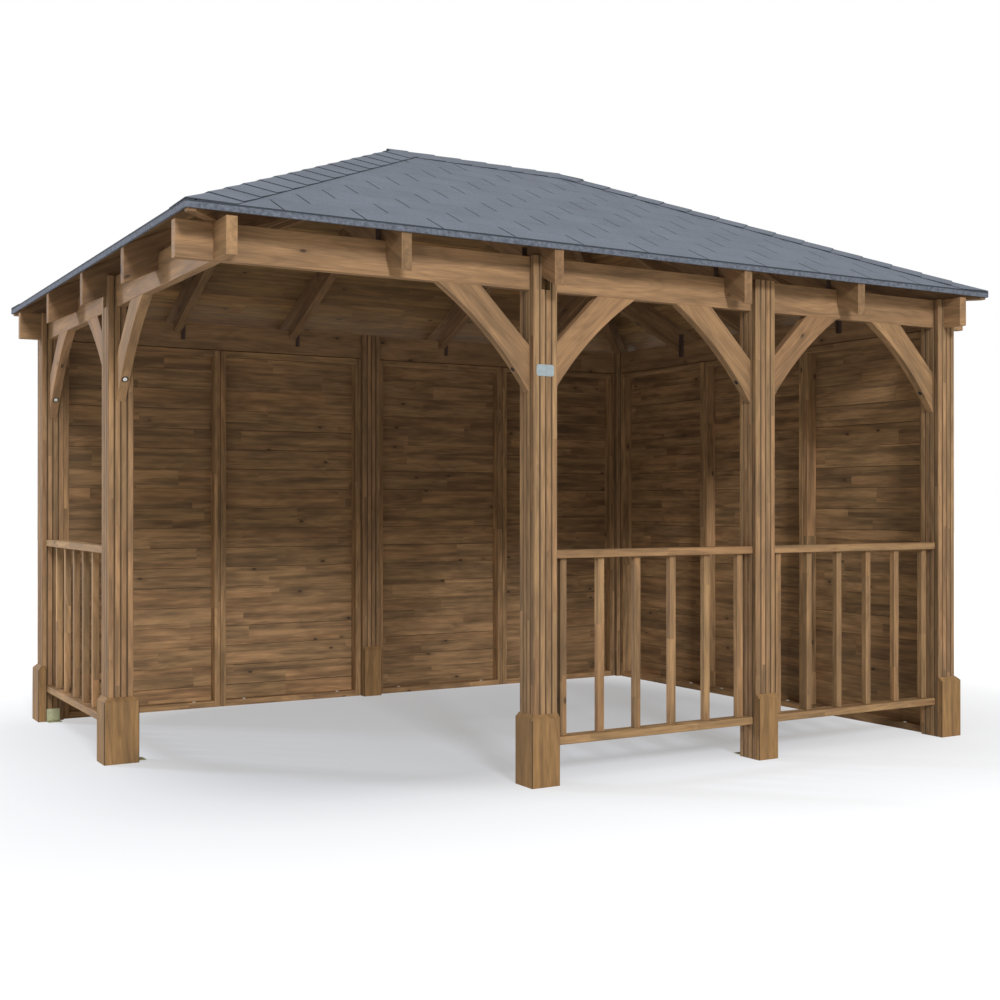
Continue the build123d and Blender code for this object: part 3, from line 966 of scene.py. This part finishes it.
def panel_screws():
    """Two pan-head screws on the bottom rail of each wall panel."""
    piece = Piece()
    for x in BACK_PANELS_X:
        for side in (-1, 1):
            turned(piece, Vector((x + side * SCREW_OUT, WALL_Y - SCREW_IN, FRAME_W)), UP, SCREW)
    for y in RIGHT_PANELS_Y:
        for side in (-1, 1):
            turned(piece, Vector((WALL_X - SCREW_IN, y + side * SCREW_OUT, FRAME_W)), UP, SCREW)
    piece.build("panel_screws", [BRIGHT], "zinc_steel")


BRACE_FAR = 0.443
BRACE_SAG = 0.032
BOLT_RUN = 0.072
# Dark discs that paint the shade in a bolt's recess: the whole hole, and the ring around a head
HOLE_SHADE = ((0.0115, -0.001), (0.0115, 0.0004), (0.0105, 0.0006))
RING_SHADE = ((0.0165, -0.001), (0.0165, 0.0004), (0.0155, 0.0006))
HEAD = ((0.0105, 0.0004), (0.0105, 0.0024), (0.0080, 0.0040), (0.0030, 0.0046))


def brace_point(x, y, towards):
    """Place and direction of the bolt in a brace's hollow edge, near its lower end."""
    chord = math.hypot(BRACE_FAR, BRACE_FAR)
    radius = (chord * chord / 4 + BRACE_SAG * BRACE_SAG) / (2 * BRACE_SAG)
    low = Vector((x, y, BEAM_BOTTOM - BRACE_FAR))
    line = (towards + UP).normalized()
    open_side = (towards - UP).normalized()
    axis = low + line * (chord / 2) + open_side * (radius - BRACE_SAG)

    def miss(turn):
        """How far the point at that turn of the arc is from the bolt's distance to the post."""
        spot = axis - open_side * (radius * math.cos(turn)) + line * (radius * math.sin(turn))
        return abs((spot - low).dot(towards) - BOLT_RUN)

    # The arc is searched in steps of 0.005 radians, to both sides of its middle
    best = min((k / 200 for k in range(-60, 61)), key=miss)
    out = open_side * math.cos(best) - line * math.sin(best)
    return axis - out * radius, out


def brace_bolts():
    """A bolt head on a ring of painted recess shade in each left brace, and a disc of painted shade for
    the hole in each front one.
    """
    piece = Piece()
    spots = [
        (POST_C_X, -POST_Y, -RIGHT),
        (POST_C_X, -POST_Y, RIGHT),
        (POST_D_X, -POST_Y, -RIGHT),
        (POST_D_X, -POST_Y, RIGHT),
        (POST_X, -POST_Y, -RIGHT),
        (-POST_X, 0, -AWAY),
        (-POST_X, 0, AWAY),
        (-POST_X, POST_Y, -AWAY),
    ]
    for x, y, towards in spots:
        start = Vector((x, y, 0)) + towards * (POST / 2)
        centre, out = brace_point(start.x, start.y, towards)
        if towards.x == 0:
            turned(piece, centre, out, RING_SHADE, 1)
            turned(piece, centre, out, HEAD)
        else:
            turned(piece, centre, out, HOLE_SHADE, 1)
    piece.build("brace_bolts", [BRIGHT, RECESS_SHADE], "zinc_steel")


ANGLE_LEG = 0.024
ANGLE_T = 0.0025
ANGLE_LOW = 2.184
ANGLE_HIGH = 2.335
ANGLE_EASE = 0.0006


def rafter_angle(piece, corner, beside, inward):
    """Upright steel angle in the corner between a rafter's side and the beam's inner face."""
    middle = (ANGLE_LOW + ANGLE_HIGH) / 2
    height = ANGLE_HIGH - ANGLE_LOW
    for leg, thin in ((beside, inward), (inward, beside)):
        centre = corner + leg * (ANGLE_LEG / 2) + thin * (ANGLE_T / 2) + UP * middle
        plank(piece, centre, UP, leg, (height, ANGLE_LEG, ANGLE_T), 0.5, 1.0, ANGLE_EASE)


def rafter_angles():
    """An angle on one side of each rafter, against the beam or the post below it."""
    piece = Piece()
    half = TIMBER / 2
    for x in RAFTERS_X:
        face = POST / 2 if x == POST_C_X else half
        rafter_angle(piece, Vector((x - half, -POST_Y + face, 0)), -RIGHT, AWAY)
        rafter_angle(piece, Vector((x + half, POST_Y - half, 0)), RIGHT, -AWAY)
    for y in RAFTERS_Y:
        face = POST / 2 if y == 0 else half
        rafter_angle(piece, Vector((-POST_X + face, y + half, 0)), AWAY, RIGHT)
        rafter_angle(piece, Vector((POST_X - half, y - half, 0)), -AWAY, -RIGHT)
    piece.build("rafter_angles", [IRON], "zinc_steel")


PLATE_W = 0.088
PLATE_H = 0.050
PLATE_T = 0.0015
PLATE_ROUND = 0.012
PLATE_EASE = 0.0004
PLATE_AT = (-0.523, -POST_Y - POST / 2, 1.788)


def blank_plate():
    """Small plate with rounded corners, left blank, on the front of the inner left post."""
    piece = Piece()
    outline = []
    for n, (sx, sy) in enumerate(((1, 1), (-1, 1), (-1, -1), (1, -1))):
        for k in range(7):
            turn = math.radians(90 * n + 15 * k)
            outline.append((sx * (PLATE_W / 2 - PLATE_ROUND) + PLATE_ROUND * math.cos(turn),
                            sy * (PLATE_H / 2 - PLATE_ROUND) + PLATE_ROUND * math.sin(turn)))
    bm = slab(outline, PLATE_T)
    soften(bm, PLATE_EASE, angle=40)
    centre = Vector(PLATE_AT)
    piece.add(bm, lambda p: centre + Vector((p.x, -p.z, p.y)))
    piece.build("blank_plate", [PLATE], "zinc_steel")


panel_screws()
brace_bolts()
rafter_angles()
blank_plate()


# Camera, light and floor

CAMERA_AT = (-3.6297, -6.4061, 1.2161)
CAMERA_TURN = (math.pi / 2 + 0.0025, 0, -0.531)
SENSOR = 36
LENS = 48.6015
camera_data = bpy.data.cameras.new("camera")
camera_data.sensor_width = SENSOR
camera_data.sensor_fit = "HORIZONTAL"
camera_data.lens = LENS
camera = bpy.data.objects.new("camera", camera_data)
camera.location = CAMERA_AT
camera.rotation_euler = CAMERA_TURN
bpy.context.scene.collection.objects.link(camera)
bpy.context.scene.camera = camera

WHITE = (1, 1, 1, 1)
WORLD_LIGHT = 0.53
WORLD_TINT = (1.0, 0.955, 0.83, 1)


def studio_world():
    """White where it is seen, and a weaker warm light on the object."""
    world = bpy.data.worlds.new("studio")
    world.use_nodes = True
    s = Nodes(world.node_tree)
    back = s.tree.nodes["Background"]
    seen = s.seen()
    s.feed(back.inputs["Color"], s.mix(seen, WORLD_TINT, WHITE))
    s.feed(back.inputs["Strength"], s.spread(seen, 0.0, 1.0, WORLD_LIGHT, 1.0))
    bpy.context.scene.world = world


def area_light(name, colour, target, direction, distance, size, power):
    """Square soft box that looks at its target from a direction."""
    data = bpy.data.lights.new(name, "AREA")
    data.shape = "SQUARE"
    data.size = size
    data.energy = power
    data.color = colour
    light = bpy.data.objects.new(name, data)
    light.location = Vector(target) + direction * distance
    light.rotation_euler = (-direction).to_track_quat("-Z", "Y").to_euler()
    bpy.context.scene.collection.objects.link(light)


# Where the floor is seen it has a colour of its own, and glows towards its edges in the shape of
# a rounded rectangle. The weak glow inside it paints the building's shadow on the floor.
# GLOW_AND_PAINTED_SHADOW gives the strength by the distance, in halves of the roof's length and width.
# REACH is where that scale ends, and BACKWARD how far its middle, and so the painted shadow, is moved
# back.
FLOOR_HALF = 40.0
FLOOR_SEEN = (0.340, 0.355, 0.385, 1)
FLOOR_LIT = (0.80, 0.80, 0.80, 1)
REACH = 2.6
BACKWARD = 0.08
GLOW_AND_PAINTED_SHADOW = ((0.76, 0.345), (0.98, 0.51), (1.2, 0.61), (1.6, 0.70), (2.4, 1.0))


def studio_floor():
    """Pale floor that keeps the object's shadow, has a painted shadow under the building and ends in the
    white backdrop.
    """
    s = Shader("floor_white_painted_shadow")
    inputs = s.bsdf.inputs
    inputs["Roughness"].default_value = 1.0
    inputs["Specular IOR Level"].default_value = 0.0
    inputs["Emission Color"].default_value = WHITE
    seen = s.seen()
    s.feed(inputs["Base Color"], s.mix(seen, FLOOR_LIT, FLOOR_SEEN))
    place = s.node("ShaderNodeNewGeometry").outputs["Position"]
    scale = (1 / (REACH * TAIL_X), 1 / (REACH * TAIL_Y), 0)
    scaled = s.vector("MULTIPLY_ADD", place, scale, (0, -BACKWARD / REACH, 0))
    distance = s.math("SQRT", s.vector("LENGTH", s.vector("MULTIPLY", scaled, scaled)))
    glow_and_painted_shadow = s.ramp(distance, [(far / REACH, (level, level, level)) for far, level in GLOW_AND_PAINTED_SHADOW])
    s.feed(inputs["Emission Strength"], s.math("MULTIPLY", seen, glow_and_painted_shadow))

    mesh = bpy.data.meshes.new("floor")
    corners = [(x * FLOOR_HALF, y * FLOOR_HALF, 0) for x, y in ((-1, -1), (1, -1), (1, 1), (-1, 1))]
    mesh.from_pydata(corners, [], [(0, 1, 2, 3)])
    mesh.materials.append(s.material)
    floor = bpy.data.objects.new("floor", mesh)
    bpy.context.scene.collection.objects.link(floor)
    return floor


KEY_FROM = Vector((-0.25, -1.0, 0.47)).normalized()
SIDE_FROM = Vector((-1.0, 1.0, 0.55)).normalized()
studio_world()
area_light("key", (0.98, 1.0, 1.06), (0.0, 0.0, 1.0), KEY_FROM, distance=30.0, size=4.6, power=5300)
area_light("side", (0.95, 1.0, 1.14), (-1.9, 0.7, 2.2), SIDE_FROM, distance=20.0, size=3.4, power=2350)
floor = studio_floor()

bpy.context.scene.view_settings.view_transform = "Standard"
